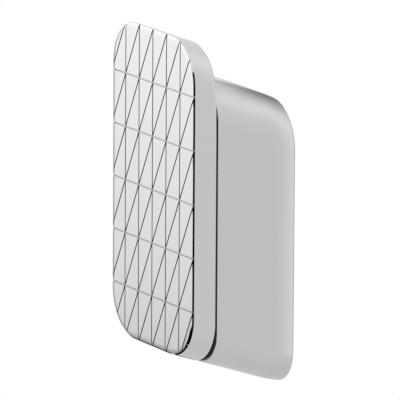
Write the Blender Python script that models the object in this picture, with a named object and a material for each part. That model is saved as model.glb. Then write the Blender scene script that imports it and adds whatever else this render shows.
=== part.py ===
"""Towel hook: an engraved front plate on a hollow body that climbs away from the wall.

The body is pushed onto a bracket that is screwed to the wall, and a grub screw from below
holds it there. Metres, +Z up, +Y into the wall. The origin lies on the wall, at the middle
of the body's wall end.
"""
import math

import bmesh
import bpy
from mathutils import Matrix, Vector

# Front plate
PLATE_WIDTH = 0.036
PLATE_HEIGHT = 0.0717
PLATE_THICKNESS = 0.006
PLATE_CORNER = 0.010
FACE_CHAMFER = 0.0004
LIP_HEIGHT = 0.0075
LIP_ROUND = 0.0012

# Engraved pattern: upright cells, each with one diagonal
COLUMNS = 6
ROWS = 6
ROW_PITCH = 0.012
COLUMN_GROOVE = 0.0006
ROW_GROOVE = 0.0004
DIAGONAL_GROOVE = 0.0005
GROOVE_OVERRUN = 0.0015

# Hook body
SLOPE = math.radians(19.4)
BODY_HEIGHT = 0.0638
BODY_DEPTH = 0.020
BODY_TOP_CORNER = 0.0101
BODY_BOTTOM_CORNER = 0.0079
SIDE_WALL = 0.0026
TOP_WALL = 0.003
BOTTOM_WALL = 0.0055
FRONT_WEB = 0.0032
SIDE_DRAW_IN = 0.0013
UPRIGHT_DRAW_IN = 0.00035
DRAW_IN_LENGTH = 0.0062
DRAW_IN_STEPS = 6

# Dark spacer between the plate and the body
SHADOW_GAP = 0.00052
SPACER_THICKNESS = 0.0003
SPACER_INSET = 0.0016

# Wall bracket and its pad
PAD_THICKNESS = 0.001
PAD_INSET = 0.0014
BRACKET_DEPTH = 0.0088
BRACKET_BACK = 0.0025
BRACKET_RIM = 0.0020
WALL_HOLE_DIAMETER = 0.0045
WALL_HOLE_FROM_END = 0.0158
COUNTERSINK_DIAMETER = 0.0085

# Screws that hold the plate, their washers, and the pins that line it up
SCREW_FROM_END = 0.0169
SCREW_DIAMETER = 0.0029
SCREW_HEAD_DIAMETER = 0.0056
SCREW_HEAD_HEIGHT = 0.0021
SCREW_GRIP = 0.0035
SCREW_HEX = 0.0022
WASHER_DIAMETER = 0.0062
WASHER_THICKNESS = 0.0008
PIN_FROM_END = 0.0099
PIN_DIAMETER = 0.0024
PIN_LENGTH = 0.0058

# Grub screw in the floor of the body
GRUB_DIAMETER = 0.004
GRUB_LENGTH = 0.0042
GRUB_FROM_WALL = 0.0053
GRUB_HEX = 0.0019
GRUB_POINT_DIAMETER = 0.0023
HEX_SOCKET_DEPTH = 0.00125

# Clearances, and how far shapes that are joined or cut reach into each other
SEAT_GAP = 0.0003
HOLE_CLEARANCE = 0.00028
THREAD_CLEARANCE = 0.00012
LEAST_CORNER = 0.00085
JOIN_OVERLAP = 0.00038

CORNER_STEPS = 9
ROUND_STEPS = 28
LIP_STEPS = 3

# Surface finishes: colour, metallic, roughness
PLATE_CHROME = ((0.80, 0.80, 0.81), 1.0, 0.06)
BODY_CHROME = ((0.74, 0.74, 0.75), 1.0, 0.08)
BLACK_SPACER = ((0.02, 0.02, 0.02), 0.0, 0.50)
GALVANISED = ((0.55, 0.56, 0.57), 1.0, 0.45)
GREY_RUBBER = ((0.10, 0.10, 0.11), 0.0, 0.80)
STAINLESS = ((0.60, 0.60, 0.60), 1.0, 0.30)
SPRING_STEEL = ((0.45, 0.45, 0.46), 1.0, 0.35)
PIN_STEEL = ((0.66, 0.66, 0.67), 1.0, 0.22)
GRUB_STEEL = ((0.50, 0.50, 0.51), 1.0, 0.28)

RISE = math.tan(SLOPE)
INTO_WALL = Vector((0, 1, 0))
UPWARDS = Vector((0, 0, 1))


def rise_at(y):
    """Height that the sloping body has gained at depth y, counted from the wall."""
    return -y * RISE


BODY_FRONT = -BODY_DEPTH
PLATE_BACK = BODY_FRONT - SHADOW_GAP
PLATE_FRONT = PLATE_BACK - PLATE_THICKNESS
WEB_BACK = BODY_FRONT + FRONT_WEB
PLATE_TOP = BODY_HEIGHT / 2 + rise_at(BODY_FRONT) + LIP_HEIGHT + rise_at(-PLATE_THICKNESS)
PLATE_MIDDLE = PLATE_TOP - PLATE_HEIGHT / 2
WEB_MIDDLE = rise_at(WEB_BACK)
WALL_HOLES_MIDDLE = (BOTTOM_WALL - TOP_WALL) / 2
WALL_HOLE_SPACING = BODY_HEIGHT - 2 * WALL_HOLE_FROM_END
SCREW_SPACING = BODY_HEIGHT - 2 * SCREW_FROM_END
PIN_SPACING = BODY_HEIGHT - 2 * PIN_FROM_END


def clear_scene():
    for thing in list(bpy.data.objects):
        bpy.data.objects.remove(thing, do_unlink=True)


def new_collection(name):
    collection = bpy.data.collections.new(name)
    bpy.context.scene.collection.children.link(collection)
    return collection


def new_material(name, finish):
    colour, metallic, roughness = finish
    mat = bpy.data.materials.new(name)
    mat.use_nodes = True
    shader = mat.node_tree.nodes["Principled BSDF"]
    shader.inputs["Base Color"].default_value = (*colour, 1.0)
    shader.inputs["Metallic"].default_value = metallic
    shader.inputs["Roughness"].default_value = roughness
    mat.diffuse_color = (*colour, 1.0)
    return mat


def add_carrier(name, location):
    """An empty on a joint's axis, which carries the pieces that move together."""
    carrier = bpy.data.objects.new(name, None)
    carrier.location = location
    carrier.empty_display_size = BODY_DEPTH
    hook.objects.link(carrier)
    return carrier


def finish_mesh(bm, name):
    mesh = bpy.data.meshes.new(name)
    bmesh.ops.recalc_face_normals(bm, faces=bm.faces)
    bm.to_mesh(mesh)
    bm.free()
    mesh.shade_smooth()
    mesh.set_sharp_from_angle(angle=math.radians(25))
    return mesh


def add_piece(name, bm, finish, carrier, location=(0, 0, 0)):
    """A named piece with its own material, placed at its location under its carrier."""
    mesh = finish_mesh(bm, name)
    mesh.materials.append(new_material(name, finish))
    piece = bpy.data.objects.new(name, mesh)
    hook.objects.link(piece)
    piece.parent = carrier
    piece.location = Vector(location) - carrier.location
    return piece


def joined(shapes):
    whole = bmesh.new()
    for shape in shapes:
        mesh = bpy.data.meshes.new("shape")
        shape.to_mesh(mesh)
        shape.free()
        whole.from_mesh(mesh)
        bpy.data.meshes.remove(mesh)
    return whole


def boolean(target, name, shapes, operation="DIFFERENCE"):
    """Cut shapes out of the target, or add them; the shapes of one cutter may cross."""
    tool = bpy.data.objects.new(name, finish_mesh(joined(shapes), name))
    cutters.objects.link(tool)
    tool.hide_render = True
    tool.display_type = "WIRE"
    modifier = target.modifiers.new(name, "BOOLEAN")
    modifier.operation = operation
    modifier.object = tool
    modifier.solver = "EXACT"
    modifier.use_self = True


def rounded_outline(width, height, top_corner, bottom_corner):
    """Points of an upright rounded rectangle about its middle, as (x, z)."""
    corners = [
        (width / 2 - top_corner, height / 2 - top_corner, top_corner, 0),
        (-width / 2 + top_corner, height / 2 - top_corner, top_corner, 90),
        (-width / 2 + bottom_corner, -height / 2 + bottom_corner, bottom_corner, 180),
        (width / 2 - bottom_corner, -height / 2 + bottom_corner, bottom_corner, 270),
    ]
    points = []
    for x, z, radius, start in corners:
        for step in range(CORNER_STEPS + 1):
            turn = math.radians(start + 90 * step / CORNER_STEPS)
            points.append((x + radius * math.cos(turn), z + radius * math.sin(turn)))
    return points


def section_inside(side, top, bottom):
    """The body's outline drawn in by the given walls, and the height of its middle."""
    top_corner = max(LEAST_CORNER, BODY_TOP_CORNER - max(side, top))
    bottom_corner = max(LEAST_CORNER, BODY_BOTTOM_CORNER - max(side, bottom))
    outline = rounded_outline(PLATE_WIDTH - 2 * side, BODY_HEIGHT - top - bottom,
                              top_corner, bottom_corner)
    return outline, (bottom - top) / 2


def section_in_hollow(gap):
    """The hollow's outline drawn in by a gap all round."""
    return section_inside(SIDE_WALL + gap, TOP_WALL + gap, BOTTOM_WALL + gap)


def slab(outline, middle, front, back):
    """A flat outline, upright at the given height, from depth front to depth back."""
    curve = bpy.data.curves.new("outline", "CURVE")
    curve.dimensions = "2D"
    curve.fill_mode = "BOTH"
    curve.extrude = (back - front) / 2
    spline = curve.splines.new("POLY")
    spline.points.add(len(outline) - 1)
    for point, (x, z) in zip(spline.points, outline):
        point.co = (x, z, 0, 1)
    spline.use_cyclic_u = True
    guide = bpy.data.objects.new("outline", curve)
    hook.objects.link(guide)
    upright = Matrix.Rotation(math.radians(90), 4, "X")
    guide.matrix_world = Matrix.Translation((0, (front + back) / 2, middle)) @ upright
    bpy.context.view_layer.update()
    evaluated = guide.evaluated_get(bpy.context.evaluated_depsgraph_get())
    mesh = bpy.data.meshes.new_from_object(evaluated)
    mesh.transform(guide.matrix_world)
    bpy.data.objects.remove(guide, do_unlink=True)
    bm = bmesh.new()
    bm.from_mesh(mesh)
    bpy.data.meshes.remove(mesh)
    bmesh.ops.remove_doubles(bm, verts=bm.verts, dist=0.000001)
    return bm


def lean(bm, level=0.0):
    """Lean a shape along the slope: what lies further out than the level stands higher."""
    for vert in bm.verts:
        vert.co.z += rise_at(vert.co.y - level)


def round_bar(diameter, length, middle, axis, far_diameter=None, segments=ROUND_STEPS):
    """A capped bar about its middle, or a cone where its far end has another diameter."""
    bm = bmesh.new()
    turn = UPWARDS.rotation_difference(axis).to_matrix().to_4x4()
    far_diameter = diameter if far_diameter is None else far_diameter
    bmesh.ops.create_cone(
        bm, cap_ends=True, segments=segments, radius1=diameter / 2, radius2=far_diameter / 2,
        depth=length, matrix=Matrix.Translation(middle) @ turn)
    return bm


def hex_bar(across_flats, length, middle, axis):
    return round_bar(2 * across_flats / math.sqrt(3), length, middle, axis, segments=6)


def pair_heights(middle, spacing):
    return {"upper": middle + spacing / 2, "lower": middle - spacing / 2}


def drillings(middle, spacing, diameter, depth, y):
    """A pair of level drillings that reach equally deep on either side of depth y."""
    heights = pair_heights(middle, spacing).values()
    return [round_bar(diameter, 2 * depth, (0, y, height), INTO_WALL) for height in heights]


def groove_bar(length, middle, angle, width):
    """A square bar on its edge along the face, which cuts a V groove half its width deep."""
    side = width / math.sqrt(2)
    bm = bmesh.new()
    place = (Matrix.Translation((middle[0], PLATE_FRONT, middle[1]))
             @ Matrix.Rotation(-angle, 4, "Y")
             @ Matrix.Rotation(math.radians(45), 4, "X"))
    bmesh.ops.create_cube(bm, size=1.0, matrix=place @ Matrix.Diagonal((length, side, side, 1)))
    return bm


def column_grooves():
    pitch = PLATE_WIDTH / COLUMNS
    length = PLATE_HEIGHT + 2 * GROOVE_OVERRUN
    places = [-PLATE_WIDTH / 2 + pitch * index for index in range(1, COLUMNS)]
    return [groove_bar(length, (x, PLATE_MIDDLE), math.radians(90), COLUMN_GROOVE) for x in places]


def row_grooves():
    length = PLATE_WIDTH + 2 * GROOVE_OVERRUN
    heights = [PLATE_TOP - ROW_PITCH * index for index in range(1, ROWS)]
    return [groove_bar(length, (0, z), 0.0, ROW_GROOVE) for z in heights]


def diagonal_grooves():
    """The cells' diagonals line up from cell to cell, so each bar crosses many cells."""
    pitch = PLATE_WIDTH / COLUMNS
    angle = math.atan2(ROW_PITCH, pitch)
    bars = []
    for index in range(1, COLUMNS + ROWS):
        first = max(0, index - ROWS)
        last = min(index, COLUMNS)
        x = -PLATE_WIDTH / 2 + pitch * (first + last) / 2
        z = PLATE_TOP - ROW_PITCH * (index - (first + last) / 2)
        length = (last - first) * math.hypot(pitch, ROW_PITCH) + 2 * GROOVE_OVERRUN
        bars.append(groove_bar(length, (x, z), angle, DIAGONAL_GROOVE))
    return bars


def bevel_rim(bm, offset, segments, wanted):
    """Bevel a shape's sharp rim edges whose two ends are both wanted."""
    rim = []
    for edge in bm.edges:
        if edge.calc_face_angle(0) > math.radians(60) and all(wanted(vert.co) for vert in edge.verts):
            rim.append(edge)
    bmesh.ops.bevel(bm, geom=rim, offset=offset, segments=segments, profile=0.5, affect="EDGES")


def make_front_plate(carrier):
    outline = rounded_outline(PLATE_WIDTH, PLATE_HEIGHT, PLATE_CORNER, PLATE_CORNER)
    bm = slab(outline, PLATE_MIDDLE, PLATE_FRONT, PLATE_BACK)
    middle = (PLATE_FRONT + PLATE_BACK) / 2
    lip_start = PLATE_TOP - PLATE_CORNER
    bevel_rim(bm, FACE_CHAMFER, 1, lambda co: co.y < middle)
    bevel_rim(bm, LIP_ROUND, LIP_STEPS, lambda co: co.y > middle and co.z > lip_start)
    lean(bm, PLATE_FRONT)
    plate = add_piece("front_plate", bm, PLATE_CHROME, carrier)
    grooves = column_grooves() + row_grooves() + diagonal_grooves()
    threads = drillings(WEB_MIDDLE, SCREW_SPACING, SCREW_DIAMETER + 2 * THREAD_CLEARANCE,
                        SCREW_GRIP + SEAT_GAP, PLATE_BACK)
    pin_holes = drillings(WEB_MIDDLE, PIN_SPACING, PIN_DIAMETER + 2 * HOLE_CLEARANCE,
                          PIN_LENGTH / 2 + SEAT_GAP, PLATE_BACK)
    boolean(plate, "cut_face_and_back", grooves + threads + pin_holes)


def make_shadow_spacer(carrier):
    outline, middle = section_inside(SPACER_INSET, SPACER_INSET, SPACER_INSET)
    front = PLATE_BACK + (SHADOW_GAP - SPACER_THICKNESS) / 2
    bm = slab(outline, middle, front, front + SPACER_THICKNESS)
    lean(bm)
    spacer = add_piece("shadow_spacer", bm, BLACK_SPACER, carrier)
    screw_holes = drillings(WEB_MIDDLE, SCREW_SPACING, SCREW_DIAMETER + 2 * HOLE_CLEARANCE,
                            2 * SHADOW_GAP, PLATE_BACK)
    pin_holes = drillings(WEB_MIDDLE, PIN_SPACING, PIN_DIAMETER + 2 * HOLE_CLEARANCE,
                          2 * SHADOW_GAP, PLATE_BACK)
    boolean(spacer, "cut_spacer_holes", screw_holes + pin_holes)


def body_shell():
    """A loft of rounded rectangles, which draws in softly over its last stretch to the wall."""
    depths = [BODY_FRONT]
    for step in range(DRAW_IN_STEPS + 1):
        depths.append(-DRAW_IN_LENGTH * (1 - step / DRAW_IN_STEPS))
    bm = bmesh.new()
    rings = []
    for y in depths:
        share = max(0.0, 1 + y / DRAW_IN_LENGTH) ** 2
        outline = rounded_outline(PLATE_WIDTH - 2 * SIDE_DRAW_IN * share,
                                  BODY_HEIGHT - 2 * UPRIGHT_DRAW_IN * share,
                                  BODY_TOP_CORNER, BODY_BOTTOM_CORNER)
        rings.append([bm.verts.new((x, y, z)) for x, z in outline])
    for ring, following in zip(rings, rings[1:]):
        for index, vert in enumerate(ring):
            after = (index + 1) % len(ring)
            bm.faces.new((vert, ring[after], following[after], following[index]))
    bm.faces.new(rings[0])
    bm.faces.new(rings[-1])
    lean(bm)
    return bm


def make_hook_body(carrier):
    body = add_piece("hook_body", body_shell(), BODY_CHROME, carrier)
    outline, middle = section_in_hollow(0.0)
    hollow = slab(outline, middle, WEB_BACK, FRONT_WEB)
    lean(hollow)
    boolean(body, "cut_hollow", [hollow])
    screw_holes = drillings(WEB_MIDDLE, SCREW_SPACING, SCREW_DIAMETER + 2 * HOLE_CLEARANCE,
                            2 * FRONT_WEB, BODY_FRONT)
    pin_holes = drillings(WEB_MIDDLE, PIN_SPACING, PIN_DIAMETER + 2 * HOLE_CLEARANCE,
                          PIN_LENGTH / 2 - SHADOW_GAP + SEAT_GAP, BODY_FRONT)
    underside = -BODY_HEIGHT / 2 + rise_at(-GRUB_FROM_WALL)
    grub_hole = round_bar(GRUB_DIAMETER + 2 * THREAD_CLEARANCE, 3 * BOTTOM_WALL,
                          (0, -GRUB_FROM_WALL, underside), UPWARDS)
    boolean(body, "cut_body_holes", screw_holes + pin_holes + [grub_hole])


def make_wall_pad(carrier):
    outline, middle = section_in_hollow(SEAT_GAP + PAD_INSET)
    bm = slab(outline, middle, -PAD_THICKNESS, 0.0)
    pad = add_piece("wall_pad", bm, GREY_RUBBER, carrier)
    holes = drillings(WALL_HOLES_MIDDLE, WALL_HOLE_SPACING, WALL_HOLE_DIAMETER + 2 * HOLE_CLEARANCE,
                      2 * PAD_THICKNESS, 0.0)
    boolean(pad, "cut_pad_holes", holes)


def make_wall_bracket(carrier):
    """A shallow cup that fills the body's wall end with a sliding fit, screwed to the wall."""
    back = -(PAD_THICKNESS + SEAT_GAP)
    front = back - BRACKET_DEPTH
    floor = back - BRACKET_BACK
    outline, middle = section_in_hollow(SEAT_GAP)
    bm = slab(outline, middle, front, back)
    lean(bm)
    bracket = add_piece("wall_bracket", bm, GALVANISED, carrier)
    outline, middle = section_in_hollow(SEAT_GAP + BRACKET_RIM)
    cup = slab(outline, middle, front - BRACKET_RIM, floor)
    lean(cup)
    boolean(bracket, "cut_cup", [cup])
    holes = drillings(WALL_HOLES_MIDDLE, WALL_HOLE_SPACING, WALL_HOLE_DIAMETER, 2 * BRACKET_BACK, back)
    mouth = COUNTERSINK_DIAMETER + 2 * JOIN_OVERLAP
    for height in pair_heights(WALL_HOLES_MIDDLE, WALL_HOLE_SPACING).values():
        middle_depth = floor - JOIN_OVERLAP + mouth / 4
        holes.append(round_bar(mouth, mouth / 2, (0, middle_depth, height), INTO_WALL, 0.0))
    boolean(bracket, "cut_wall_holes", holes)


def make_plate_screws_and_washers(carrier):
    washer_middle = WEB_BACK + SEAT_GAP + WASHER_THICKNESS / 2
    head_front = WEB_BACK + 2 * SEAT_GAP + WASHER_THICKNESS
    tip = PLATE_BACK - SCREW_GRIP
    shank_length = head_front + JOIN_OVERLAP - tip
    shank_middle = tip + shank_length / 2
    for where, height in pair_heights(WEB_MIDDLE, SCREW_SPACING).items():
        shank = round_bar(SCREW_DIAMETER, shank_length, (0, 0, 0), INTO_WALL)
        screw = add_piece(where + "_plate_screw", shank, STAINLESS, carrier, (0, shank_middle, height))
        head = round_bar(SCREW_HEAD_DIAMETER, SCREW_HEAD_HEIGHT,
                         (0, head_front + SCREW_HEAD_HEIGHT / 2, height), INTO_WALL)
        boolean(screw, "join_head_" + where, [head], "UNION")
        socket = hex_bar(SCREW_HEX, 2 * HEX_SOCKET_DEPTH,
                         (0, head_front + SCREW_HEAD_HEIGHT, height), INTO_WALL)
        boolean(screw, "cut_socket_" + where, [socket])

        disc = round_bar(WASHER_DIAMETER, WASHER_THICKNESS, (0, 0, 0), INTO_WALL)
        washer = add_piece(where + "_washer", disc, SPRING_STEEL, carrier, (0, washer_middle, height))
        hole = round_bar(SCREW_DIAMETER + 2 * HOLE_CLEARANCE, 4 * WASHER_THICKNESS,
                         (0, washer_middle, height), INTO_WALL)
        boolean(washer, "cut_washer_" + where, [hole])


def make_locating_pins(carrier):
    for where, height in pair_heights(WEB_MIDDLE, PIN_SPACING).items():
        pin = round_bar(PIN_DIAMETER, PIN_LENGTH, (0, 0, 0), INTO_WALL)
        add_piece(where + "_locating_pin", pin, PIN_STEEL, carrier, (0, PLATE_BACK, height))


def make_grub_screw(carrier):
    """Stands upright in the body's floor; its point stops short of the sloping bracket."""
    near_edge = -GRUB_FROM_WALL + GRUB_POINT_DIAMETER / 2
    bracket_underside = -BODY_HEIGHT / 2 + BOTTOM_WALL + SEAT_GAP + rise_at(near_edge)
    middle = bracket_underside - SEAT_GAP - GRUB_LENGTH / 2
    shank = round_bar(GRUB_DIAMETER, GRUB_LENGTH, (0, 0, 0), UPWARDS)
    bevel_rim(shank, (GRUB_DIAMETER - GRUB_POINT_DIAMETER) / 2, 1, lambda co: co.z > 0)
    screw = add_piece("grub_screw", shank, GRUB_STEEL, carrier, (0, -GRUB_FROM_WALL, middle))
    mouth = (0, -GRUB_FROM_WALL, middle - GRUB_LENGTH / 2)
    socket = hex_bar(GRUB_HEX, 2 * HEX_SOCKET_DEPTH, mouth, UPWARDS)
    boolean(screw, "cut_grub_socket", [socket])


clear_scene()
hook = new_collection("towel_hook")
cutters = new_collection("cutters")

bracket_carrier = add_carrier("bracket_carrier", (0, 0, 0))
hook_carrier = add_carrier("hook_carrier", (0, 0, 0))
grub_carrier = add_carrier("grub_carrier", (0, -GRUB_FROM_WALL, 0))

make_front_plate(hook_carrier)
make_shadow_spacer(hook_carrier)
make_hook_body(hook_carrier)
make_plate_screws_and_washers(hook_carrier)
make_locating_pins(hook_carrier)
make_wall_bracket(bracket_carrier)
make_wall_pad(bracket_carrier)
make_grub_screw(grub_carrier)
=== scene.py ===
"""Looks of a chrome towel hook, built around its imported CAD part. Lengths are in metres, +Z is
up and +Y points into the wall."""
import math

import bmesh
import bpy
import numpy as np
from mathutils import Matrix, Vector


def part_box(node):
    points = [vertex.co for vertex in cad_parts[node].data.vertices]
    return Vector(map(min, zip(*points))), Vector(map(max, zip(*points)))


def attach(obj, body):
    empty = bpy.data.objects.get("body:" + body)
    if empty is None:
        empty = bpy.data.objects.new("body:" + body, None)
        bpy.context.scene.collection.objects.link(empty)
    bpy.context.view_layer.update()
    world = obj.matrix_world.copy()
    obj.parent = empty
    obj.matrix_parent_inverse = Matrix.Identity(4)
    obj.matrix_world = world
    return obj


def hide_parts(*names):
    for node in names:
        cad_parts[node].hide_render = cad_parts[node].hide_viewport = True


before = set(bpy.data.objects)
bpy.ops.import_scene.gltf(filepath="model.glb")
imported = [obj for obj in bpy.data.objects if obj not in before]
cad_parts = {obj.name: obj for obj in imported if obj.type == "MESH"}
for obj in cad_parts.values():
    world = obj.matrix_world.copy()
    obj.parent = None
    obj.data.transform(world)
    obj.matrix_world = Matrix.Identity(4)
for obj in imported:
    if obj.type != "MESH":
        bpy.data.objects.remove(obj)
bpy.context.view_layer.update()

# Wall pad
# Black EPDM rubber, one millimetre thick, die-cut a little smaller than the bracket, with two
# screw holes. It lies loose between bracket and tile, and the bracket's screws press it flat.

SLOPE = math.radians(19.4)
CORNER_POINTS = 28
STRAIGHT_POINTS = 10
ROUND_POINTS = 48
INTO_WALL = (0, 1, 0)


def rounded_section(half_width, top, bottom, top_radius, bottom_radius):
    """Four quarter circles joined by straight lines, clockwise from the upper left as seen
    from the front. Each straight has its own points, so all sections match point for point."""
    turn = np.linspace(0, math.pi / 2, CORNER_POINTS)
    places = [(-half_width + top_radius, top - top_radius, top_radius, math.pi),
              (half_width - top_radius, top - top_radius, top_radius, math.pi / 2),
              (half_width - bottom_radius, bottom + bottom_radius, bottom_radius, 0.0),
              (-half_width + bottom_radius, bottom + bottom_radius, bottom_radius, -math.pi / 2)]
    arcs = [np.column_stack([x + radius * np.cos(start - turn), z + radius * np.sin(start - turn)])
            for x, z, radius, start in places]
    share = np.linspace(0, 1, STRAIGHT_POINTS + 2)[1:-1, None]
    pieces = []
    for arc, following in zip(arcs, arcs[1:] + arcs[:1]):
        pieces += [arc, arc[-1] * (1 - share) + following[0] * share]
    return np.vstack(pieces)


def ring_at(section, depth, level=0.0):
    """A section upright at a depth, raised by the slope's rise from the level to that depth."""
    return np.column_stack([section[:, 0], np.full(len(section), depth),
                            section[:, 1] - (depth - level) * math.tan(SLOPE)])


def loft_mesh(name, rings):
    """Rings of matching points, joined by quads in order and closed by a flat cap at each end."""
    rings = np.asarray(rings)
    count, around = rings.shape[:2]
    index = np.arange(count * around).reshape(count, around)
    here, there = index[:-1], index[1:]
    quads = np.stack([here, np.roll(here, -1, axis=1), np.roll(there, -1, axis=1), there], axis=-1)
    faces = quads.reshape(-1, 4).tolist() + [index[0][::-1].tolist(), index[-1].tolist()]
    mesh = bpy.data.meshes.new(name)
    mesh.from_pydata(rings.reshape(-1, 3), [], faces)
    outward = bmesh.new()
    outward.from_mesh(mesh)
    bmesh.ops.recalc_face_normals(outward, faces=outward.faces)
    outward.to_mesh(mesh)
    outward.free()
    return mesh


def turned_rings(middle, axis, places, radii, around=ROUND_POINTS):
    """Circles about an axis: at each place along it a radius, which may change with the turn.
    The turn starts at +X and goes on by the right-hand rule."""
    axis = np.array(axis, dtype=float)
    side = np.array([1.0, 0.0, 0.0])
    other = np.cross(axis, side)
    turn = np.linspace(0, 2 * math.pi, around, endpoint=False)
    spokes = np.cos(turn)[:, None] * side + np.sin(turn)[:, None] * other
    radii = np.asarray(radii, dtype=float).reshape(len(places), -1)
    radii = np.broadcast_to(radii, (len(places), around))
    return (np.array(middle) + np.asarray(places)[:, None, None] * axis
            + radii[:, :, None] * spokes)


def bar(middle, axis, start, end, radius, around=ROUND_POINTS):
    """A straight bar: the same circle, or polygon with few points around, at start and end."""
    return loft_mesh("bar", turned_rings(middle, axis, [start, end], [radius, radius], around))


def smooth(mesh, edge_angle):
    """Shades a mesh smooth, and keeps an edge sharp where its two faces turn by more than the
    angle, in degrees."""
    mesh.shade_smooth()
    mesh.set_sharp_from_angle(angle=math.radians(edge_angle))


def piece(name, mesh, material, body, node, cuts=(), edge_angle=30):
    """A finished piece at the origin: its cuts taken out of it, and tied to the CAD model."""
    mesh.materials.append(material)
    thing = bpy.data.objects.new(name, mesh)
    bpy.context.scene.collection.objects.link(thing)
    if cuts:
        together = bmesh.new()
        for shape in cuts:
            together.from_mesh(shape)
        tool_mesh = bpy.data.meshes.new("tool")
        together.to_mesh(tool_mesh)
        together.free()
        tool = bpy.data.objects.new("tool", tool_mesh)
        bpy.context.scene.collection.objects.link(tool)
        cut = thing.modifiers.new("cut", "BOOLEAN")
        cut.object = tool
        cut.operation = "DIFFERENCE"
        cut.solver = "EXACT"
        cut.use_self = True
        settled = thing.evaluated_get(bpy.context.evaluated_depsgraph_get())
        after = bpy.data.meshes.new_from_object(settled)
        thing.modifiers.remove(cut)
        bpy.data.objects.remove(tool)
        thing.data = after
        after.name = name
    smooth(thing.data, edge_angle)
    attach(thing, body)
    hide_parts(node)
    return thing


def srgb(code):
    """A hex colour as linear light, with full opacity. Each channel's share of 255 goes through
    the sRGB curve: a straight line close to black, and above it a power of 2.4."""
    shares = [int(code[start:start + 2], 16) / 255 for start in (1, 3, 5)]
    return [share / 12.92 if share <= 0.04045 else ((share + 0.055) / 1.055) ** 2.4
            for share in shares] + [1.0]


def new_material(name):
    """A new material built from nodes, with only its surface shader so far."""
    material = bpy.data.materials.new(name)
    material.use_nodes = True
    return material


def set_inputs(material, node, inputs):
    """Gives each named socket a value, or links it to another node's output."""
    for socket, value in inputs.items():
        if isinstance(value, bpy.types.NodeSocket):
            material.node_tree.links.new(value, node.inputs[socket])
        else:
            node.inputs[socket].default_value = value


def add_node(material, kind, inputs, **settings):
    """A shader node of one kind, first with its settings and then with its sockets filled."""
    node = material.node_tree.nodes.new("ShaderNode" + kind)
    for name, value in settings.items():
        setattr(node, name, value)
    set_inputs(material, node, inputs)
    return node


def shader_of(material):
    """The surface shader that a new material comes with."""
    return material.node_tree.nodes["Principled BSDF"]


# EPDM rubber as calendered: dull black, with a fine leathery grain and a trace of grey bloom.
rubber = new_material("calendered EPDM rubber")
place = add_node(rubber, "TexCoord", {}).outputs["Object"]
RUBBER_GRAIN = 0.0004
RUBBER_BLOOM = 0.006
RUBBER_RELIEF = 0.00005
grain = add_node(rubber, "TexNoise", {"Vector": place, "Scale": 1 / RUBBER_GRAIN, "Detail": 3.0})
bloom = add_node(rubber, "TexNoise", {"Vector": place, "Scale": 1 / RUBBER_BLOOM, "Detail": 4.0})
bloom_colour = add_node(rubber, "Mix", {"Factor": bloom.outputs["Fac"], "A": srgb("#1E1E1F"),
                                        "B": srgb("#343435")}, data_type="RGBA")
grain_bump = add_node(rubber, "Bump", {"Height": grain.outputs["Fac"], "Strength": 0.6,
                                       "Distance": RUBBER_RELIEF})
set_inputs(rubber, shader_of(rubber), {
    "Base Color": bloom_colour.outputs["Result"], "Roughness": 0.8,
    "Normal": grain_bump.outputs["Normal"]})

PAD_THICKNESS = -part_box("wall_pad")[0].y
PAD_EDGE = 0.00012
HALF_WIDTH = 0.018
BODY_TOP_RADIUS = 0.0098
BODY_BOTTOM_RADIUS = 0.0075
SIDE_WALL = 0.0026
TOP_WALL = 0.003
BOTTOM_WALL = 0.0055
SEAT_GAP = 0.0003
PAD_INSET = 0.0014
WALL_HOLE_HEIGHTS = (-0.01465, 0.01715)
PAD_HOLE_RADIUS = 0.00253
LEAST_CORNER = 0.00085
SOLID_HALF_HEIGHT = 0.0319


def hollow_section(gap):
    """The outline of the body's hollow, drawn in by a gap all round."""
    side, top, bottom = SIDE_WALL + gap, TOP_WALL + gap, BOTTOM_WALL + gap
    return rounded_section(HALF_WIDTH - side, SOLID_HALF_HEIGHT - top, -SOLID_HALF_HEIGHT + bottom,
                           max(LEAST_CORNER, BODY_TOP_RADIUS - max(side, top)),
                           max(LEAST_CORNER, BODY_BOTTOM_RADIUS - max(side, bottom)))


pad_rings = [ring_at(hollow_section(SEAT_GAP + PAD_INSET + inset), depth, depth)
             for depth, inset in ((-PAD_THICKNESS, PAD_EDGE), (-PAD_THICKNESS + PAD_EDGE, 0.0),
                                  (-PAD_EDGE, 0.0), (0.0, PAD_EDGE))]
piece("pad_sheet", loft_mesh("pad_sheet", pad_rings), rubber, "bracket", "wall_pad",
      [bar((0, 0, height), INTO_WALL, -2 * PAD_THICKNESS, 2 * PAD_THICKNESS, PAD_HOLE_RADIUS)
       for height in WALL_HOLE_HEIGHTS])

# Wall bracket
# A shallow cup pressed from sheet steel and hot-dip galvanised, which follows the body's slope
# and fills its wall end with a sliding fit. Two countersunk holes take the wall screws.

BRACKET_BACK_DEPTH = -0.0013
BRACKET_FRONT_DEPTH = -0.0101
BRACKET_FLOOR_DEPTH = -0.0038
BRACKET_RIM = 0.0020
BRACKET_EDGE = 0.0004
WALL_HOLE_RADIUS = 0.00225
COUNTERSINK_RADIUS = 0.00425
CUT_OVERRUN = 0.0004
CONE_SHARE = 0.98
WALL_HOLE_START = -0.006
WALL_HOLE_END = 0.003
EDGE_STEPS = 5

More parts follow.
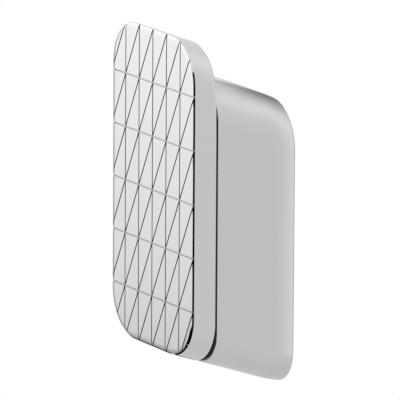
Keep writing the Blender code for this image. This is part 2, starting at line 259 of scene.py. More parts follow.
# Galvanised steel: dull grey with spangles a few millimetres across, each its own shade.
galvanised = new_material("galvanised steel sheet")
place = add_node(galvanised, "TexCoord", {}).outputs["Object"]
SPANGLE = 0.003
spangles = add_node(galvanised, "TexVoronoi", {"Vector": place, "Scale": 1 / SPANGLE})
shade = add_node(galvanised, "SeparateColor", {"Color": spangles.outputs["Color"]}).outputs["Red"]
spangle_colour = add_node(galvanised, "Mix", {"Factor": shade, "A": srgb("#A6A9AC"),
                                              "B": srgb("#C6C9CB")}, data_type="RGBA")
spangle_roughness = add_node(galvanised, "MapRange", {"Value": shade,
                                                      "To Min": 0.34, "To Max": 0.52})
set_inputs(galvanised, shader_of(galvanised), {
    "Base Color": spangle_colour.outputs["Result"], "Metallic": 1.0,
    "Roughness": spangle_roughness.outputs["Result"]})


def edged_rings(section_at, front, back, edge):
    """Rings from front to back depth with both outer edges rounded by a quarter circle."""
    turns = np.linspace(0, math.pi / 2, EDGE_STEPS)
    rings = [ring_at(section_at(edge * (1 - math.sin(turn))), front + edge * (1 - math.cos(turn)))
             for turn in turns]
    rings += [ring_at(section_at(edge * (1 - math.cos(turn))), back - edge * (1 - math.sin(turn)))
              for turn in turns]
    return rings


bracket_rings = edged_rings(lambda inset: hollow_section(SEAT_GAP + inset),
                            BRACKET_FRONT_DEPTH, BRACKET_BACK_DEPTH, BRACKET_EDGE)
cup_section = hollow_section(SEAT_GAP + BRACKET_RIM)
cup = loft_mesh("cup", [ring_at(cup_section, BRACKET_FRONT_DEPTH - BRACKET_RIM),
                        ring_at(cup_section, BRACKET_FLOOR_DEPTH)])
bracket_cuts = [cup]
# Each countersink is a cone of 45 degrees a side. It starts just in front of the bracket's floor
# and stops a little before its tip.
mouth = COUNTERSINK_RADIUS + CUT_OVERRUN
for height in WALL_HOLE_HEIGHTS:
    bracket_cuts.append(bar((0, BRACKET_BACK_DEPTH, height), INTO_WALL,
                            WALL_HOLE_START, WALL_HOLE_END, WALL_HOLE_RADIUS))
    bracket_cuts.append(loft_mesh("cone", turned_rings(
        (0, BRACKET_FLOOR_DEPTH - CUT_OVERRUN, height), INTO_WALL,
        [0, mouth * CONE_SHARE], [mouth, mouth * (1 - CONE_SHARE)])))
piece("bracket_pressing", loft_mesh("bracket_pressing", bracket_rings), galvanised,
      "bracket", "wall_bracket", bracket_cuts)

# Hook body
# A zinc casting, hollow towards the wall, polished and chromed. Its outline is a rounded
# rectangle carried up and out along a slope, and it draws in softly just before the wall.

BODY_TOP = 0.0322
BODY_BOTTOM = -0.0320
BODY_FRONT = -0.0203
WEB_BACK = -0.0168
BODY_EDGE_ROUND = 0.0001
WALL_EDGE_ROUND = 0.00045
SIDE_DRAW_IN = 0.0011
UPRIGHT_DRAW_IN = 0.0004
DRAW_IN_LENGTH = 0.0060
FRONT_RADIUS_GAIN = 0.0008
SCREW_HEIGHTS = {"lower": -0.00908, "upper": 0.02092}
PIN_HEIGHTS = {"lower": -0.01608, "upper": 0.02792}
SCREW_HOLE_RADIUS = 0.00173
SCREW_HOLE_DEPTH = 0.005
PIN_HOLE_RADIUS = 0.00148
PIN_HOLE_DEPTH = 0.0027
HOLE_OVERRUN = 0.002
UPWARDS = (0, 0, 1)
GRUB_DEPTH = -0.0053
GRUB_HOLE_RADIUS = 0.00212
GRUB_HOLE_MIDDLE = -0.030
GRUB_HOLE_START = -0.006
GRUB_HOLE_END = 0.007
HOLLOW_OVERRUN = 0.003
BODY_EDGE_STEPS = 6
BODY_STEPS = 20
DRAW_IN_STEPS = 24


def body_section(depth, inset):
    """The body's outline at a depth. Over its last stretch before the wall it draws in with the
    square of the way, and its lower corners widen in proportion to the way to the plate."""
    share = max(0.0, 1 + depth / DRAW_IN_LENGTH) ** 2
    return rounded_section(HALF_WIDTH - inset - SIDE_DRAW_IN * share,
                           BODY_TOP - inset - UPRIGHT_DRAW_IN * share,
                           BODY_BOTTOM + inset + UPRIGHT_DRAW_IN * share,
                           BODY_TOP_RADIUS,
                           BODY_BOTTOM_RADIUS + FRONT_RADIUS_GAIN * depth / BODY_FRONT)


def drillings(depth, heights, start, end, radius):
    """A level round hole at each height, from start to end as counted from the depth."""
    return [bar((0, depth, height), INTO_WALL, start, end, radius) for height in heights.values()]


turns = np.linspace(0, math.pi / 2, BODY_EDGE_STEPS)
body_depths = np.concatenate([
    BODY_FRONT + BODY_EDGE_ROUND * (1 - np.cos(turns)),
    np.linspace(BODY_FRONT + BODY_EDGE_ROUND, -DRAW_IN_LENGTH, BODY_STEPS)[1:],
    np.linspace(-DRAW_IN_LENGTH, -WALL_EDGE_ROUND, DRAW_IN_STEPS)[1:],
    -WALL_EDGE_ROUND * (1 - np.sin(turns[1:]))])
body_insets = np.concatenate([
    BODY_EDGE_ROUND * (1 - np.sin(turns)), np.zeros(BODY_STEPS + DRAW_IN_STEPS - 2),
    WALL_EDGE_ROUND * (1 - np.cos(turns[1:]))])
body_rings = [ring_at(body_section(depth, inset), depth)
              for depth, inset in zip(body_depths, body_insets)]
body_cuts = [loft_mesh("hollow", [ring_at(hollow_section(0.0), WEB_BACK),
                                  ring_at(hollow_section(0.0), HOLLOW_OVERRUN)])]
body_cuts += drillings(BODY_FRONT, SCREW_HEIGHTS, -HOLE_OVERRUN, SCREW_HOLE_DEPTH,
                       SCREW_HOLE_RADIUS)
body_cuts += drillings(BODY_FRONT, PIN_HEIGHTS, -HOLE_OVERRUN, PIN_HOLE_DEPTH, PIN_HOLE_RADIUS)
body_cuts.append(bar((0, GRUB_DEPTH, GRUB_HOLE_MIDDLE), UPWARDS,
                     GRUB_HOLE_START, GRUB_HOLE_END, GRUB_HOLE_RADIUS))

WAVES_TO_FILM = 0.6
WAVE_RELIEF = 0.00002


def chrome(name, colour, film):
    """Bright chrome: mirror-smooth, with a breath of polish left in patches as wide as the film,
    and the faint waves, a little wider, that buffing leaves in the casting."""
    material = new_material(name)
    spot = add_node(material, "TexCoord", {}).outputs["Object"]
    patches = add_node(material, "TexNoise", {"Vector": spot, "Scale": 1 / film, "Detail": 2.0})
    smoothness = add_node(material, "MapRange", {"Value": patches.outputs["Fac"],
                                                 "To Min": 0.03, "To Max": 0.07})
    waves = add_node(material, "TexNoise", {"Vector": spot, "Scale": WAVES_TO_FILM / film,
                                             "Detail": 1.0})
    wave_bump = add_node(material, "Bump", {"Height": waves.outputs["Fac"], "Strength": 0.1,
                                            "Distance": WAVE_RELIEF})
    set_inputs(material, shader_of(material), {
        "Base Color": srgb(colour), "Metallic": 1.0, "Roughness": smoothness.outputs["Result"],
        "Normal": wave_bump.outputs["Normal"]})
    return material


body_chrome = chrome("chromed zinc casting, body", "#D2D3D3", 0.012)
piece("body_casting", loft_mesh("body_casting", body_rings), body_chrome,
      "hook", "hook_body", body_cuts)

# Plate screws
# Stainless socket screws, cold-headed with a rolled thread. They reach from inside the body
# through its web into the plate, two of them one above the other.

SCREW_RADIUS = 0.00145
SCREW_HEAD_RADIUS = 0.0028
SCREW_TIP = -0.02402
SCREW_HEAD_FRONT = -0.0154
SCREW_HEAD_BACK = -0.0133
SCREW_HEX = 0.0011
SOCKET_DEPTH = 0.00125
THREAD_PITCH = 0.0005
THREAD_DEPTH = 0.00028
THREAD_STEPS = 6
PLAIN_NECK = 0.0009
TIP_STEP = 1.3
HEAD_ROUND = 0.0003
HEAD_STEPS = 5
HEX_SIDES = 6
HEX_CORNER = 2 / math.sqrt(3)

# Stainless steel as cold-headed: a soft grey shine with rings along its length. They are drawn
# about a third of a millimetre apart, coarser than real, so that they show. The wave pattern
# itself repeats every tenth of pi.
WAVE_REPEAT = math.pi / 10
RING_SPACING = 0.000349
stainless = new_material("cold-headed stainless steel")
place = add_node(stainless, "TexCoord", {}).outputs["Object"]
rings = add_node(stainless, "TexWave", {"Vector": place, "Scale": WAVE_REPEAT / RING_SPACING,
                                        "Distortion": 1.5, "Detail": 2.0},
                 wave_type="BANDS", bands_direction="Y")
ring_roughness = add_node(stainless, "MapRange", {"Value": rings.outputs["Fac"],
                                                  "To Min": 0.22, "To Max": 0.34})
set_inputs(stainless, shader_of(stainless), {
    "Base Color": srgb("#C4C3C0"), "Metallic": 1.0, "Roughness": ring_roughness.outputs["Result"]})


def threaded(places, radius, pitch, depth, fades, around=ROUND_POINTS):
    """A thread: at each place and turn the radius dips by a triangle wave of their helix. Each
    place's fade is the share of the full depth that it gets."""
    turn = np.linspace(0, 1, around, endpoint=False)
    phase = (np.asarray(places)[:, None] / pitch - turn) % 1.0
    ridge = np.abs(2 * phase - 1)
    return radius - depth * ridge * np.asarray(fades)[:, None]


thread_end = SCREW_HEAD_FRONT - PLAIN_NECK
for where, height in SCREW_HEIGHTS.items():
    shank = np.arange(SCREW_TIP + THREAD_DEPTH, thread_end, THREAD_PITCH / THREAD_STEPS)
    fades = np.clip((thread_end - shank) / THREAD_PITCH, 0, 1)
    radii = [np.full(ROUND_POINTS, SCREW_RADIUS - TIP_STEP * THREAD_DEPTH)]
    radii += list(threaded(shank, SCREW_RADIUS, THREAD_PITCH, THREAD_DEPTH, fades))
    radii += [np.full(ROUND_POINTS, radius)
              for radius in (SCREW_RADIUS, SCREW_HEAD_RADIUS, SCREW_HEAD_RADIUS)]
    places = [SCREW_TIP] + list(shank)
    places += [SCREW_HEAD_FRONT, SCREW_HEAD_FRONT, SCREW_HEAD_BACK - HEAD_ROUND]
    for turn in np.linspace(0, math.pi / 2, HEAD_STEPS)[1:]:
        places.append(SCREW_HEAD_BACK - HEAD_ROUND * (1 - math.sin(turn)))
        radii.append(np.full(ROUND_POINTS, SCREW_HEAD_RADIUS - HEAD_ROUND * (1 - math.cos(turn))))
    screw_mesh = loft_mesh(where + "_screw", turned_rings((0, 0, height), INTO_WALL, places, radii))
    socket = bar((0, SCREW_HEAD_BACK, height), INTO_WALL, -SOCKET_DEPTH, SOCKET_DEPTH,
                 SCREW_HEX * HEX_CORNER, HEX_SIDES)
    piece(where + "_screw", screw_mesh, stainless, "hook", where + "_plate_screw",
          [socket])

# Washers
# Flat rings of blued spring steel under the screws' heads, stamped and tumbled. They lie on the
# inner side of the body's web.

WASHER_RADIUS = 0.0031
WASHER_FRONT = -0.0165
WASHER_BACK = -0.0157
WASHER_EDGE = 0.00012
BORE_START = -0.001
BORE_END = 0.002

# Spring steel: dark blue-grey oxide with lighter patches where tumbling has rubbed it.
RUBBED_PATCH = 0.0008
spring_steel = new_material("blued spring steel")
place = add_node(spring_steel, "TexCoord", {}).outputs["Object"]
rubbed = add_node(spring_steel, "TexNoise", {"Vector": place, "Scale": 1 / RUBBED_PATCH,
                                             "Detail": 4.0})
steel_colour = add_node(spring_steel, "Mix", {"Factor": rubbed.outputs["Fac"], "A": srgb("#5C6068"),
                                              "B": srgb("#8E9196")}, data_type="RGBA")
set_inputs(spring_steel, shader_of(spring_steel), {
    "Base Color": steel_colour.outputs["Result"], "Metallic": 1.0, "Roughness": 0.38})

for where, height in SCREW_HEIGHTS.items():
    washer_mesh = loft_mesh(where + "_washer_ring", turned_rings(
        (0, 0, height), INTO_WALL,
        [WASHER_FRONT, WASHER_FRONT + WASHER_EDGE, WASHER_BACK - WASHER_EDGE, WASHER_BACK],
        [WASHER_RADIUS - WASHER_EDGE, WASHER_RADIUS, WASHER_RADIUS, WASHER_RADIUS - WASHER_EDGE]))
    bore = bar((0, WASHER_FRONT, height), INTO_WALL, BORE_START, BORE_END, SCREW_HOLE_RADIUS)
    piece(where + "_washer_ring", washer_mesh, spring_steel, "hook", where + "_washer",
          [bore])

# Locating pins
# Hardened steel dowels, ground round with bevelled ends, which stand in holes of body and plate.
# They keep the plate from turning on its two screws.

PIN_RADIUS = 0.0012
PIN_FRONT = -0.02342
PIN_BACK = -0.01762
PIN_BEVEL = 0.00025

# Ground dowel steel: bright, with the fine unevenness that grinding leaves, drawn coarser than
# real so that it shows.
GRINDING_GRAIN = 0.0002
dowel_steel = new_material("ground dowel steel")
place = add_node(dowel_steel, "TexCoord", {}).outputs["Object"]
grinding = add_node(dowel_steel, "TexNoise", {"Vector": place, "Scale": 1 / GRINDING_GRAIN,
                                              "Detail": 2.0})
ground_roughness = add_node(dowel_steel, "MapRange", {"Value": grinding.outputs["Fac"],
                                                      "To Min": 0.14, "To Max": 0.26})
set_inputs(dowel_steel, shader_of(dowel_steel), {
    "Base Color": srgb("#CCCDCE"), "Metallic": 1.0,
    "Roughness": ground_roughness.outputs["Result"]})

for where, height in PIN_HEIGHTS.items():
    pin_mesh = loft_mesh(where + "_dowel", turned_rings(
        (0, 0, height), INTO_WALL,
        [PIN_FRONT, PIN_FRONT + PIN_BEVEL, PIN_BACK - PIN_BEVEL, PIN_BACK],
        [PIN_RADIUS - PIN_BEVEL, PIN_RADIUS, PIN_RADIUS, PIN_RADIUS - PIN_BEVEL]))
    piece(where + "_dowel", pin_mesh, dowel_steel, "hook", where + "_locating_pin")

# Shadow spacer
# A thin die-cut sheet of black nylon, clamped between body and plate and set back a little from
# their edges. Its black is painted shade: it stands in for the shade of the gap between body and
# plate, draws the fine dark line there, and hides that the two castings never match exactly.

SPACER_FRONT = -0.02063
SPACER_BACK = -0.02036
# Set back this little so that its black, as painted shade, reaches close to the body's edge and
# fills the crescent under the plate's lower corner.
SPACER_INSET = 0.00015
SPACER_OVERRUN = 0.001

# Cast nylon sheet: nearly black as painted shade of the gap, dull, with a faint cloudy grain.
NYLON_CLOUD = 0.001
gap_shade_nylon = new_material("black nylon sheet as painted gap shade")
place = add_node(gap_shade_nylon, "TexCoord", {}).outputs["Object"]
cloud = add_node(gap_shade_nylon, "TexNoise", {"Vector": place, "Scale": 1 / NYLON_CLOUD, "Detail": 3.0})
gap_shade_colour = add_node(gap_shade_nylon, "Mix", {"Factor": cloud.outputs["Fac"], "A": srgb("#0A0A0A"),
                                       "B": srgb("#161617")}, data_type="RGBA")
set_inputs(gap_shade_nylon, shader_of(gap_shade_nylon), {
    "Base Color": gap_shade_colour.outputs["Result"], "Roughness": 0.6})

spacer_rings = [ring_at(body_section(depth, SPACER_INSET), depth)
                for depth in (SPACER_FRONT, SPACER_BACK)]
spacer_cuts = []
for heights, radius in ((SCREW_HEIGHTS, SCREW_HOLE_RADIUS), (PIN_HEIGHTS, PIN_HOLE_RADIUS)):
    spacer_cuts += drillings(SPACER_FRONT, heights, -SPACER_OVERRUN, SPACER_OVERRUN, radius)
piece("spacer_sheet", loft_mesh("spacer_sheet", spacer_rings), gap_shade_nylon,
      "hook", "shadow_spacer", spacer_cuts)

# Front plate
# A zinc slab with milled V grooves, polished and chromed. Buffing has rolled its face off
# towards the edge, and the back edge of its lip is rounded for the towel.

PLATE_HEIGHT = 0.07145
PLATE_RADIUS = 0.010
ROLL_WIDTH = 0.0025
ROLL_ANGLE = math.radians(24)
ROLL_POWER = 4
ROLL_STEPS = 16
EDGE_BEVEL = 0.00027
BACK_ROUND = 0.00018
LIP_ROUND = 0.0007
BACK_STEPS = 9
PLATE_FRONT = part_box("front_plate")[0].y
PLATE_BACK = -0.0207
PLATE_TOP = 0.04855
PLATE_BOTTOM = PLATE_TOP - PLATE_HEIGHT
LIP_FADE_LOW = PLATE_TOP - 0.0170
LIP_FADE_HIGH = PLATE_TOP - 0.0090
COLUMNS = 6
ROWS = 6
PITCH_X = 2 * HALF_WIDTH / COLUMNS
PITCH_Z = 0.012
PATTERN_TOP = PLATE_TOP - 0.00012
COLUMN_GROOVE = 0.00034
DIAGONAL_GROOVE = 0.00035
ROW_GROOVE = 0.0004
ROW_STEEPNESS = 1.73
GROOVE_OVERRUN = 0.0015
GROOVE_STEPS = 60
PLATE_SCREW_HOLE_DEPTH = 0.0038
PLATE_PIN_HOLE_DEPTH = 0.0032
THREAD_CLEARANCE = 0.00012


def roll_off(inside):
    """How far the face lies back at a distance inside the outline. Its angle falls from
    ROLL_ANGLE at the outline to nothing at ROLL_WIDTH with a power of the distance."""
    rest = np.clip(1 - np.asarray(inside) / ROLL_WIDTH, 0, 1)
    return ROLL_ANGLE * ROLL_WIDTH / (ROLL_POWER + 1) * rest ** (ROLL_POWER + 1)


def inside_outline(x, z):
    """Distance of a point of the face from the plate's rounded outline, counted inwards: the
    corner radius less the distance beyond the rectangle that joins the corners' centres."""
    across = np.abs(x) - (HALF_WIDTH - PLATE_RADIUS)
    along = np.abs(z - (PLATE_TOP + PLATE_BOTTOM) / 2) - (PLATE_HEIGHT / 2 - PLATE_RADIUS)
    outside = np.hypot(np.maximum(across, 0), np.maximum(along, 0))
    return PLATE_RADIUS - (outside + np.minimum(np.maximum(across, along), 0))


def groove(start, end, width, steepness=1.0):
    """A bar that cuts a V, carried along a line of the face at the depth the face has there. The
    V is as deep as half its width times its steepness."""
    start, end = np.array(start), np.array(end)
    along = (end - start) / np.linalg.norm(end - start)
    start, end = start - GROOVE_OVERRUN * along, end + GROOVE_OVERRUN * along
    share = np.linspace(0, 1, GROOVE_STEPS)[:, None]
    path = start * (1 - share) + end * share
    depth = PLATE_FRONT + roll_off(np.maximum(inside_outline(path[:, 0], path[:, 1]), 0))
    across = np.array([along[1], -along[0]])
    half = width / 2
    corners = [path + offset * across for offset in (-half, 0, half, 0)]
    sinks = (0, half * steepness, 0, -half)
    rings = np.stack([np.column_stack([corner[:, 0], depth + sink, corner[:, 1]])
                      for corner, sink in zip(corners, sinks)], axis=1)
    return loft_mesh("groove", rings)


def plate_section(inset):
    """The plate's outline, drawn in all round by an inset that its corner radius loses too."""
    return rounded_section(HALF_WIDTH - inset, PLATE_TOP - inset, PLATE_BOTTOM + inset,
                           PLATE_RADIUS - inset, PLATE_RADIUS - inset)


# The outline's outward direction at a point is at right angles to the line between its
# neighbours. The round of the plate's back edge grows smoothly up the lip.
outer = plate_section(0.0)
outward = np.roll(outer, -1, axis=0) - np.roll(outer, 1, axis=0)
outward = np.column_stack([-outward[:, 1], outward[:, 0]])
outward /= np.linalg.norm(outward, axis=1)[:, None]
fade = np.clip((outer[:, 1] - LIP_FADE_LOW) / (LIP_FADE_HIGH - LIP_FADE_LOW), 0, 1)
back_round = BACK_ROUND + (LIP_ROUND - BACK_ROUND) * fade ** 2 * (3 - 2 * fade)
plate_rings = [ring_at(plate_section(inset), PLATE_FRONT + roll_off(inset), PLATE_FRONT)
               for inset in np.linspace(ROLL_WIDTH, EDGE_BEVEL, ROLL_STEPS)]
plate_rings.append(ring_at(outer, PLATE_FRONT + roll_off(EDGE_BEVEL) + EDGE_BEVEL, PLATE_FRONT))
for turn in np.linspace(0, math.pi / 2, BACK_STEPS):
    drawn = outer - (back_round * (1 - math.cos(turn)))[:, None] * outward
    depth = PLATE_BACK - back_round * (1 - math.sin(turn))
    plate_rings.append(np.column_stack([drawn[:, 0], depth,
                                        drawn[:, 1] - (depth - PLATE_FRONT) * math.tan(SLOPE)]))

columns = [-HALF_WIDTH + PITCH_X * index for index in range(COLUMNS + 1)]
levels = [PATTERN_TOP - PITCH_Z * index for index in range(ROWS + 1)]
plate_cuts = [groove((x, PLATE_BOTTOM), (x, PLATE_TOP), COLUMN_GROOVE) for x in columns[1:-1]]
plate_cuts += [groove((-HALF_WIDTH, z), (HALF_WIDTH, z), ROW_GROOVE, ROW_STEEPNESS)
               for z in levels[1:-1]]
# Each cell has a diagonal from its lower left corner to its upper right one. Those that follow
# each other are one groove, from where the grid begins to where it ends.
for index in range(1, COLUMNS + ROWS):
    first, last = max(0, index - ROWS), min(index, COLUMNS)
    plate_cuts.append(groove((columns[first], levels[index - first]),
                             (columns[last], levels[index - last]), DIAGONAL_GROOVE))
plate_cuts += drillings(PLATE_BACK, SCREW_HEIGHTS, -PLATE_SCREW_HOLE_DEPTH, HOLE_OVERRUN,
                        SCREW_RADIUS + THREAD_CLEARANCE)
plate_cuts += drillings(PLATE_BACK, PIN_HEIGHTS, -PLATE_PIN_HOLE_DEPTH, HOLE_OVERRUN,
                        PIN_HOLE_RADIUS)
plate_chrome = chrome("chromed zinc casting, plate", "#D6D7D7", 0.010)
piece("plate_casting", loft_mesh("plate_casting", plate_rings), plate_chrome,
      "hook", "front_plate", plate_cuts, edge_angle=15)

# Grub screw
# A blackened steel socket screw with a flat point, turned up through the body's floor until it
# presses on the bracket. Only its lower end shows.

GRUB_RADIUS = 0.002
GRUB_BOTTOM = -0.02914
GRUB_TOP = -0.02494
GRUB_POINT_RADIUS = 0.00115
GRUB_HEX = 0.00095
GRUB_PITCH = 0.0007
GRUB_THREAD = 0.00038
GRUB_STEPS = 8

# Black-oxide alloy steel: dark and satin, with lighter specks where the oxide is thin.
OXIDE_SPECK = 0.0005
black_steel = new_material("black-oxide alloy steel")
place = add_node(black_steel, "TexCoord", {}).outputs["Object"]
oxide = add_node(black_steel, "TexNoise", {"Vector": place, "Scale": 1 / OXIDE_SPECK,
                                           "Detail": 4.0})
oxide_colour = add_node(black_steel, "Mix", {"Factor": oxide.outputs["Fac"], "A": srgb("#3A3B3E"),
                                             "B": srgb("#5A5B5E")}, data_type="RGBA")
set_inputs(black_steel, shader_of(black_steel), {
    "Base Color": oxide_colour.outputs["Result"], "Metallic": 1.0, "Roughness": 0.36})

point_start = GRUB_TOP - (GRUB_RADIUS - GRUB_POINT_RADIUS)
grub_places = np.arange(GRUB_BOTTOM + GRUB_THREAD, point_start - GRUB_THREAD,
                        GRUB_PITCH / GRUB_STEPS)
grub_radii = threaded(grub_places, GRUB_RADIUS, GRUB_PITCH, GRUB_THREAD,
                      np.ones(len(grub_places)))
low_end = np.full((1, ROUND_POINTS), GRUB_RADIUS - GRUB_THREAD)
point = np.full((1, ROUND_POINTS), GRUB_POINT_RADIUS)
grub_mesh = loft_mesh("grub", turned_rings(
    (0, GRUB_DEPTH, 0), UPWARDS,
    np.concatenate([[GRUB_BOTTOM], grub_places, [point_start, GRUB_TOP]]),
    np.vstack([low_end, grub_radii, low_end, point])))
grub_socket = bar((0, GRUB_DEPTH, GRUB_BOTTOM), UPWARDS, -SOCKET_DEPTH, SOCKET_DEPTH,
                  GRUB_HEX * HEX_CORNER, HEX_SIDES)
piece("grub", grub_mesh, black_steel, "clamp", "grub_screw", [grub_socket])

# Studio
# A white room with a pale matt floor well below the hook, and the cards that a photographer
# stands round chrome, which only its reflections see: a soft box in front on the left, grey and
# black flags beside and below it, a grey wall on the right, and three cards behind the hook.

FLOOR_HEIGHT = -0.200
FLOOR_RADIUS = 0.62
FLOOR_FADE_START = 0.35
FLOOR_POINTS = 96
FLOOR_CARD_LIFT = 0.002

# Matt floor paint: off-white, mottled by the roller in patches a few centimetres wide. It fades
# out towards its rim, so that no edge shows in the chrome.
MOTTLE_PATCH = 1 / 30
floor_paint = new_material("pale matt floor paint")
place = add_node(floor_paint, "TexCoord", {}).outputs["Object"]
mottle = add_node(floor_paint, "TexNoise", {"Vector": place, "Scale": 1 / MOTTLE_PATCH,
                                            "Detail": 2.0})
floor_colour = add_node(floor_paint, "Mix", {"Factor": mottle.outputs["Fac"], "A": srgb("#E3E2E0"),
                                             "B": srgb("#E8E7E5")}, data_type="RGBA")
from_middle = add_node(floor_paint, "VectorMath", {0: place, 1: (0, 0, FLOOR_HEIGHT)},
                       operation="DISTANCE")
edge_fade = add_node(floor_paint, "MapRange", {
    "Value": from_middle.outputs["Value"], "From Min": FLOOR_FADE_START, "From Max": FLOOR_RADIUS,
    "To Min": 1.0, "To Max": 0.0}, interpolation_type="SMOOTHSTEP")
set_inputs(floor_paint, shader_of(floor_paint), {
    "Base Color": floor_colour.outputs["Result"], "Roughness": 0.9,
    "Alpha": edge_fade.outputs["Result"]})
turn = np.linspace(0, 2 * math.pi, FLOOR_POINTS, endpoint=False)
floor_mesh = bpy.data.meshes.new("floor")
floor_mesh.from_pydata(np.column_stack([
    FLOOR_RADIUS * np.cos(turn), FLOOR_RADIUS * np.sin(turn), np.full(FLOOR_POINTS, FLOOR_HEIGHT)]),
    [], [list(range(FLOOR_POINTS))])
floor_mesh.materials.append(floor_paint)
floor = bpy.data.objects.new("floor", floor_mesh)
bpy.context.scene.collection.objects.link(floor)


def card(name, centre, across, up, dim, bright, soft):
    """A flat card given by its centre and half its width and height as vectors. Its light grows
    evenly from dim at its lower edge to bright at its upper one. It fades out at its left, right,
    lower and upper edge over the four soft widths: its cover is the product of four smooth steps,
    one from each edge inwards. Only reflections see it."""
    centre, across, up = Vector(centre), Vector(across), Vector(up)
    corners = [centre + side * across + rise * up
               for side, rise in ((-1, -1), (1, -1), (1, 1), (-1, 1))]
    mesh = bpy.data.meshes.new(name)
    mesh.from_pydata([tuple(corner) for corner in corners], [], [(0, 1, 2, 3)])
    uv = mesh.uv_layers.new(name="card")
    uv.data.foreach_set("uv", [0, 0, 1, 0, 1, 1, 0, 1])
    material = new_material(name)
    spot = add_node(material, "UVMap", {}, uv_map="card").outputs["UV"]
    parts = add_node(material, "SeparateXYZ", {"Vector": spot})
    cover = 1.0
    sizes = (2 * across.length, 2 * across.length, 2 * up.length, 2 * up.length)
    for axis, edge, inward, size, width in zip("XXYY", (0, 1, 0, 1), (1, -1, 1, -1), sizes, soft):
        share = add_node(material, "MapRange", {"Value": parts.outputs[axis], "From Min": edge,
                                                "From Max": edge + inward * width / size},
                         interpolation_type="SMOOTHSTEP")
        product = add_node(material, "Math", {0: cover, 1: share.outputs[0]}, operation="MULTIPLY")
        cover = product.outputs[0]
    light = add_node(material, "MapRange", {"Value": parts.outputs["Y"],
                                            "To Min": dim, "To Max": bright})
    glow = add_node(material, "Emission", {"Strength": light.outputs[0]})
    clear = add_node(material, "BsdfTransparent", {})
    blend = add_node(material, "MixShader", {0: cover, 1: clear.outputs[0], 2: glow.outputs[0]})
    output = material.node_tree.nodes["Material Output"]
    material.node_tree.links.new(blend.outputs[0], output.inputs["Surface"])
    mesh.materials.append(material)
    thing = bpy.data.objects.new(name, mesh)
    bpy.context.scene.collection.objects.link(thing)
    thing.visible_camera = False
    thing.visible_diffuse = False
    thing.visible_transmission = False
    thing.visible_shadow = False


def standing_card(name, azimuth, distance, left, right, low, high, dim, bright, soft):
    """An upright card that faces the hook, at a distance and at an azimuth in degrees, counted
    from straight into the wall towards +X. It reaches from left to right, as the hook sees it,
    and from low to high."""
    away = Vector((math.sin(math.radians(azimuth)), math.cos(math.radians(azimuth)), 0))
    across = away.cross(Vector((0, 0, 1)))
    centre = away * distance + across * (left + right) / 2 + Vector((0, 0, (low + high) / 2))
    card(name, centre, across * (right - left) / 2, (0, 0, (high - low) / 2), dim, bright, soft)


def lying_card(name, x, y, half_width, half_depth, light, soft):
    """A card that lies just above the floor, evenly lit, given by its centre and half its sizes."""
    card(name, (x, y, FLOOR_HEIGHT + FLOOR_CARD_LIFT), (half_width, 0, 0), (0, half_depth, 0),
         light, light, soft)


# The face and the slopes of its grooves mirror the soft box and the flags on the left.
standing_card("soft_box", azimuth=-141, distance=0.30, left=-0.24, right=0.20, low=-0.20, high=0.16,
              dim=0.53, bright=1.911, soft=(0.10, 0.10, 0.125, 0.03))
standing_card("low_flag", azimuth=-128, distance=0.36, left=-0.20, right=0.20, low=-0.20,
              high=-0.03, dim=0.30, bright=0.30, soft=(0.02, 0.02, 0.01, 0.01))
standing_card("left_flag", azimuth=-95, distance=0.33, left=-0.18, right=0.18, low=-0.20, high=0.05,
              dim=0.42, bright=0.42, soft=(0.08, 0.08, 0.01, 0.07))
standing_card("left_low_flag", azimuth=-85, distance=0.25, left=-0.10, right=0.10, low=-0.20,
              high=-0.11, dim=0.0, bright=0.0, soft=(0.02, 0.02, 0.01, 0.02))
# The bevel round the face mirrors the black flags in front.
standing_card("front_flag_left", azimuth=-156, distance=0.27, left=-0.07, right=0.030, low=-0.17,
              high=0.05, dim=0.0, bright=0.0, soft=(0.01, 0.01, 0.01, 0.01))
standing_card("front_flag_low", azimuth=-150, distance=0.28, left=-0.12, right=0.07, low=-0.19,
              high=-0.09, dim=0.0, bright=0.0, soft=(0.01, 0.01, 0.01, 0.01))
standing_card("front_flag_right", azimuth=150, distance=0.34, left=-0.09, right=0.09, low=-0.20,
              high=0.15, dim=0.0, bright=0.0, soft=(0.01, 0.01, 0.01, 0.02))
# The right sides of plate and body mirror the grey wall.
standing_card("grey_wall", azimuth=62, distance=0.45, left=-0.47, right=0.45, low=-0.35, high=0.50,
              dim=0.774, bright=0.85, soft=(0.47, 0.20, 0.01, 0.05))
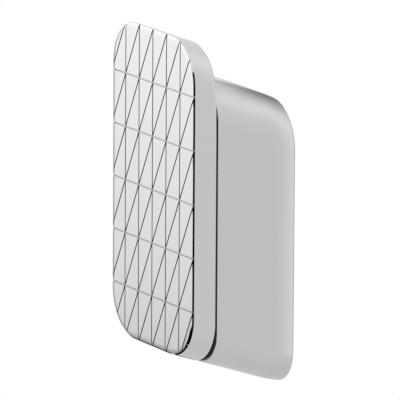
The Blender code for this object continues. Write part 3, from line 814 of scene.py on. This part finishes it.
# The body's top and its drawn-in rim mirror the cards close behind the hook.
standing_card("back_flag", azimuth=0, distance=0.010, left=-0.045, right=0.0185, low=-0.010,
              high=0.058, dim=0.27, bright=0.27, soft=(0.040, 0.024, 0.015, 0.021))
standing_card("edge_flag", azimuth=0, distance=0.011, left=-0.012, right=0.0190, low=-0.034,
              high=0.030, dim=0.25, bright=0.25, soft=(0.005, 0.002, 0.008, 0.012))
standing_card("back_haze", azimuth=0, distance=0.012, left=-0.070, right=0.019, low=-0.020,
              high=0.100, dim=0.87, bright=0.87, soft=(0.020, 0.020, 0.020, 0.040))
# What looks down, such as the bevel under the face, mirrors the cards on the floor.
lying_card("floor_flag", x=0.09, y=-0.23, half_width=0.12, half_depth=0.17, light=0.0,
           soft=(0.01, 0.01, 0.01, 0.01))
lying_card("left_floor_flag", x=-0.12, y=-0.13, half_width=0.10, half_depth=0.10, light=0.0,
           soft=(0.03, 0.01, 0.02, 0.02))
lying_card("floor_shade", x=-0.17, y=0.12, half_width=0.32, half_depth=0.17, light=0.72,
           soft=(0.08, 0.12, 0.12, 0.08))

world = bpy.data.worlds.new("studio")
bpy.context.scene.world = world
world.use_nodes = True
world.node_tree.nodes["Background"].inputs["Color"].default_value = (1, 1, 1, 1)
bpy.context.scene.view_settings.view_transform = "Standard"

# Camera
# Far to the right and a little above, with a very long lens, which makes the lines of the grid
# converge as they do in the photograph.

CAMERA_PLACE = Vector((1.364658, -0.805105, 0.361041))
CAMERA_AZIMUTH = math.radians(59.9106)
CAMERA_ELEVATION = math.radians(12.5885)
CAMERA_ROLL = math.radians(-0.34594)
LENS = 659.34
SENSOR_WIDTH = 36
camera_data = bpy.data.cameras.new("camera")
camera_data.lens = LENS
camera_data.sensor_width = SENSOR_WIDTH
camera_data.clip_start = 0.01
camera_data.clip_end = 100
camera = bpy.data.objects.new("camera", camera_data)
bpy.context.scene.collection.objects.link(camera)
back = Vector((math.sin(CAMERA_AZIMUTH) * math.cos(CAMERA_ELEVATION),
               -math.cos(CAMERA_AZIMUTH) * math.cos(CAMERA_ELEVATION), math.sin(CAMERA_ELEVATION)))
right = Vector((math.cos(CAMERA_AZIMUTH), math.sin(CAMERA_AZIMUTH), 0))
down = (-back).cross(right)
rolled_right = math.cos(CAMERA_ROLL) * right + math.sin(CAMERA_ROLL) * down
rolled_down = -math.sin(CAMERA_ROLL) * right + math.cos(CAMERA_ROLL) * down
camera.matrix_world = (Matrix.Translation(CAMERA_PLACE)
                       @ Matrix((rolled_right, -rolled_down, back)).transposed().to_4x4())
bpy.context.scene.camera = camera
